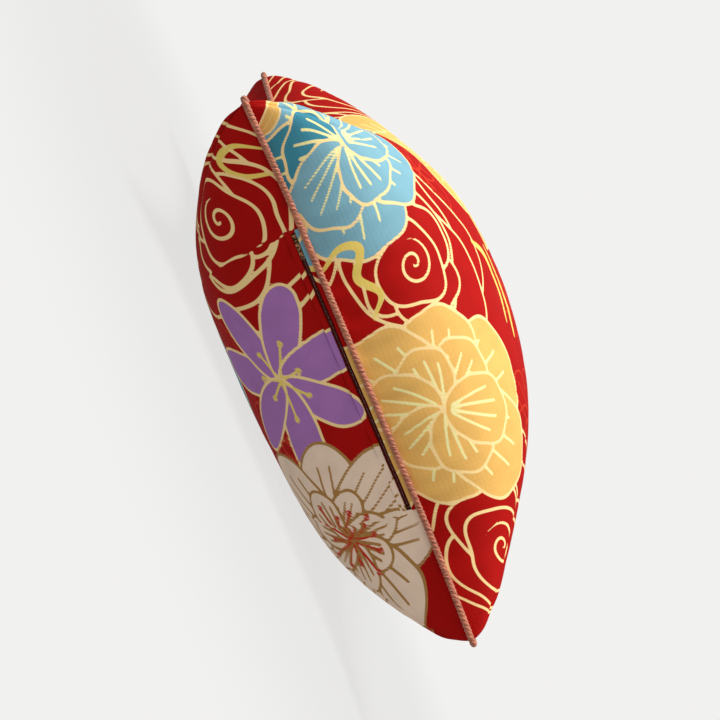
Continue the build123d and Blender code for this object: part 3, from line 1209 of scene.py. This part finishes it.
LIP = Fold(outer_edge=0.3, crease=4.8, inner_edge=0.8, middle=0.1, half_width=0.6, bulge=0.6,
           outer_share=0.4, inner_share=0.7, wave=0.3)
HEM = Fold(outer_edge=13.1, crease=9.5, inner_edge=13.1, middle=-0.3, half_width=0.9, bulge=-0.7,
           outer_share=0.35, inner_share=0.65, wave=0.35)


@dataclass
class SideZip:
    """What shows of the zip: the folded lip and hem beside the slit, and the rows of coils."""

    cloth: bpy.types.Material
    coil: bpy.types.Material
    tape: bpy.types.Material
    edge_reach: float = 0.3
    edge_lap: float = 0.05
    edge_ripple: float = 0.06
    cloth_ease: float = 1.082  # length of flat print for each length of the side
    coil_pitch: float = 1.05
    coil_lean: float = 14.0
    loop_share: float = 0.62
    thread_share: float = 0.42

    def strip(self, name: str, node: str, fold: Fold, length: float,
              paint: Painter, edge: float, run: float) -> bpy.types.Object:
        """A folded strip of cloth along the slit.

        Args:
            name: The piece's name.
            node: The CAD solid that it stands for.
            fold: Its section.
            length: Its length.
            paint: The print that it is cut from.
            edge: Where its cloth starts on the flat print.
            run: How far across the flat print it goes.

        Returns:
            The piece.
        """
        shares = np.linspace(0, 1, 15)
        along = np.linspace(-length / 2, length / 2, 220)
        out, down = fold.section(shares)
        share, y = np.meshgrid(shares, along, indexing="ij")
        wander = fold.wander(share, y)
        out_grid = np.repeat(out[:, None], len(along), 1) + wander
        down_grid = np.repeat(down[:, None], len(along), 1) + wander * 0.3
        points = np.stack([-FORM.zip_wall - out_grid, y, FORM.seam_height - down_grid], -1)
        faces = grid_faces(len(shares), len(along))
        piece = new_piece(name, points.reshape(-1, 3), faces, self.cloth)
        paint(edge + share.ravel() * run, y.ravel() * self.cloth_ease).onto(piece)
        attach(piece, "root")
        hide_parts(node)
        return piece

    def coils(self, node: str, name: str, lean: float) -> bpy.types.Object:
        """One row of coils, a loop modelled once and repeated along the tape.

        Args:
            node: The CAD bar that it stands for.
            name: The piece's name.
            lean: How far each loop leans along the row, in degrees.

        Returns:
            The piece.
        """
        low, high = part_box(node)
        pitch = self.coil_pitch * MM
        half = (high[2] - low[2]) / 2
        bpy.ops.object.select_all(action="DESELECT")
        bpy.ops.mesh.primitive_torus_add(
            major_segments=12, minor_segments=6,
            major_radius=half * self.loop_share, minor_radius=half * self.thread_share,
            location=((low[0] + high[0]) / 2, low[1] + pitch / 2, (low[2] + high[2]) / 2),
            rotation=(math.radians(90), 0, math.radians(lean)))
        piece = bpy.context.active_object
        bpy.ops.object.transform_apply(location=True, rotation=True, scale=True)
        row = piece.modifiers.new("row", "ARRAY")
        row.use_relative_offset = False
        row.use_constant_offset = True
        row.constant_offset_displace = (0, pitch, 0)
        row.count = int((high[1] - low[1]) / pitch) - 1
        bpy.ops.object.modifier_apply(modifier="row")
        bpy.ops.object.shade_smooth()
        piece.name = name
        piece.data.materials.append(self.coil)
        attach(piece, "root")
        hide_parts(node)
        log.info("%s: %d faces", name, len(piece.data.polygons))
        return piece

    def woven_edge(self, node: str, name: str, towards_seam: bool) -> None:
        """The strip of tape that the coils are woven into.

        Args:
            node: The CAD bar of the coils.
            name: The piece's name.
            towards_seam: Whether the row is the one nearer to the seam.
        """
        low, high = (tuple(part / MM for part in corner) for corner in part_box(node))
        inner = low[2] - self.edge_reach if towards_seam else high[2] + self.edge_reach
        outer = high[2] - self.edge_lap if towards_seam else low[2] + self.edge_lap
        along = np.linspace(low[1], high[1], 180)
        heights = np.linspace(inner, outer, 5)
        z, y = np.meshgrid(heights, along, indexing="ij")
        x = (low[0] + high[0]) / 2 + self.edge_ripple * np.sin(y * 2.1) * np.sin(z * 3.0)
        faces = grid_faces(len(heights), len(along), flip=towards_seam)
        piece = new_piece(name, np.stack([x, y, z], -1).reshape(-1, 3), faces, self.tape)
        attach(piece, "root")

    def build(self) -> None:
        """Make the lip, the hem, the coils and their tapes' woven edges."""
        low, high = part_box("zipper_lip")
        length = (high[1] - low[1]) / MM
        lip = self.strip("slit_lip", "zipper_lip", LIP, length, front_print, -219.0, 10.0)
        hem = self.strip("slit_hem", "back_panel_hem", HEM, length + 2, back_print, -221.4, -10.3)
        self.coils("zipper_coil_front", "coils_by_lip", self.coil_lean)
        self.coils("zipper_coil_back", "coils_by_hem", -self.coil_lean)
        self.woven_edge("zipper_coil_front", "tape_edge_by_lip", True)
        self.woven_edge("zipper_coil_back", "tape_edge_by_hem", False)


# --- studio -------------------------------------------------------------------------------


@dataclass
class Studio:
    """Camera, lights and floor."""

    lens: float = 105.8
    azimuth: float = 170.517  # the camera's direction from the pillow, in degrees from +X
    elevation: float = 3.177
    roll: float = 67.68  # which stands the pillow on a corner
    distance: float = 1642.13
    aim: tuple[float, float, float] = (-3.9, -20.93, -7.22)  # from the middle of the seam's plane
    pale: float = 0.885

    @property
    def backdrop(self) -> Colour:
        """The surround's and the floor's colour, a little warm."""
        return self.pale, self.pale * 0.995, self.pale * 0.98

    def camera(self) -> None:
        """Set the camera, turned about its aim."""
        data = bpy.data.cameras.new("camera")
        data.lens, data.sensor_width = self.lens, 36.0
        data.clip_end = 20.0
        camera = bpy.data.objects.new("camera", data)
        tilt, heading = math.radians(90 - self.elevation), math.radians(90 + self.azimuth)
        level = Euler((tilt, 0, heading)).to_matrix().to_4x4()
        turn = level @ Matrix.Rotation(math.radians(self.roll), 4, "Z")
        middle = Vector(self.aim) + Vector((0, 0, FORM.seam_height))
        spot = middle + turn.to_3x3() @ Vector((0, 0, self.distance))
        camera.matrix_world = Matrix.Translation(spot * MM) @ turn
        bpy.context.scene.collection.objects.link(camera)
        bpy.context.scene.camera = camera

    def light(self, name: str, spot: tuple[float, float, float], size: float, power: float) -> None:
        """A square softbox that faces the pillow.

        Args:
            name: Its name.
            spot: Its place, in metres.
            size: The length of its sides, in metres.
            power: Its power in watts.
        """
        data = bpy.data.lights.new(name, "AREA")
        data.size, data.energy = size, power
        lamp = bpy.data.objects.new(name, data)
        bpy.context.scene.collection.objects.link(lamp)
        lamp.location = spot
        target = Vector((0, 0, 0.1))
        lamp.rotation_euler = (target - lamp.location).to_track_quat("-Z", "Y").to_euler()

    def world(self) -> None:
        """A pale surround."""
        world = bpy.data.worlds.new("surround")
        world.use_nodes = True
        tree = world.node_tree
        ground = tree.nodes["Background"]
        ground.inputs["Color"].default_value = (self.pale, self.pale, self.pale, 1)
        ground.inputs["Strength"].default_value = 0.5
        seen = tree.nodes.new("ShaderNodeBackground")
        seen.inputs["Color"].default_value = (*self.backdrop, 1)
        path = tree.nodes.new("ShaderNodeLightPath")
        mixer = tree.nodes.new("ShaderNodeMixShader")
        tree.links.new(path.outputs["Is Camera Ray"], mixer.inputs[0])
        tree.links.new(ground.outputs[0], mixer.inputs[1])
        tree.links.new(seen.outputs[0], mixer.inputs[2])
        tree.links.new(mixer.outputs[0], tree.nodes["World Output"].inputs["Surface"])
        bpy.context.scene.world = world

    def floor(self) -> None:
        """A pale floor that takes a soft shadow and fades out round the pillow."""
        bpy.ops.object.select_all(action="DESELECT")
        bpy.ops.mesh.primitive_grid_add(x_subdivisions=8, y_subdivisions=8, size=1.6, location=(0, 0, 0))
        floor = bpy.context.active_object
        floor.name = "floor"
        graph = Graph("pale floor")
        tree = graph.tree
        away = graph.node("ShaderNodeVectorMath", {"operation": "LENGTH"}, {0: graph.place()}, "Value")
        glow = graph.node("ShaderNodeEmission", {}, {"Color": self.backdrop, "Strength": 0.93})
        matte = graph.node("ShaderNodeBsdfDiffuse", {}, {"Color": (0.5, 0.5, 0.49)})
        ground = graph.node("ShaderNodeMixShader", {}, {0: 0.12, 1: glow, 2: matte})
        clear = graph.node("ShaderNodeBsdfTransparent", {}, {})
        faded = graph.node("ShaderNodeMixShader", {}, {0: away.step(0.3, 0.75), 1: ground, 2: clear})
        tree.links.new(faded.socket, tree.nodes["Material Output"].inputs["Surface"])
        floor.data.materials.append(graph.material)
        floor.visible_diffuse = False
        floor.visible_glossy = False

    def build(self) -> None:
        """Set up the shot."""
        self.camera()
        self.world()
        self.floor()
        self.light("key", (-0.15, 0.7, 2.1), 1.0, 60.0)
        self.light("fill", (-1.5, -0.3, 0.6), 1.2, 3.0)
        bpy.context.scene.view_settings.view_transform = "Standard"


def dress_cad_nodes(tape: bpy.types.Material) -> None:
    """Give each CAD solid that stays its finish.

    Args:
        tape: The zip tapes' finish.
    """
    finishes = {
        "piping_tape": PlainCloth("piping lip cloth", from_srgb(120, 56, 44)),
        "zipper_top_stops": AgedMetal(),
        "zipper_bottom_stop": AgedMetal(),
        "zipper_slider": AgedMetal(),
        "zipper_pull": AgedMetal(),
        "insert_closing_stitches": PlainCloth("stitch thread", from_srgb(220, 218, 208)),
    }
    made = {"zipper_tape_front": tape, "zipper_tape_back": tape}
    shared: dict[str, bpy.types.Material] = {}
    for node, finish in finishes.items():
        if finish.name not in shared:
            shared[finish.name] = finish.material()
        made[node] = shared[finish.name]
    for node, material in made.items():
        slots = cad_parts[node].data.materials
        slots.clear()
        slots.append(material)
        log.info("%s takes %s", node, material.name)


def main() -> None:
    """Build the pillow and its setting."""
    logging.basicConfig(level=logging.INFO, format="%(name)s: %(message)s")
    Studio().build()
    cloth = PrintedCloth().material()
    Cover(cloth).build()
    Piping().build(Yarn().material())
    coil = PlainCloth("coil nylon", from_srgb(168, 44, 30), 0.4 * MM).material()
    tape = PlainCloth("zip tape", from_srgb(140, 22, 16)).material()
    SideZip(cloth, coil, tape).build()
    lining = PlainCloth("insert cloth", from_srgb(232, 230, 222)).material()
    fibre = PlainCloth("polyester fibre", from_srgb(242, 242, 238), 2.0 * MM).material()
    Insert(lining, fibre).build()
    dress_cad_nodes(tape)


if __name__ == "__main__":
    main()
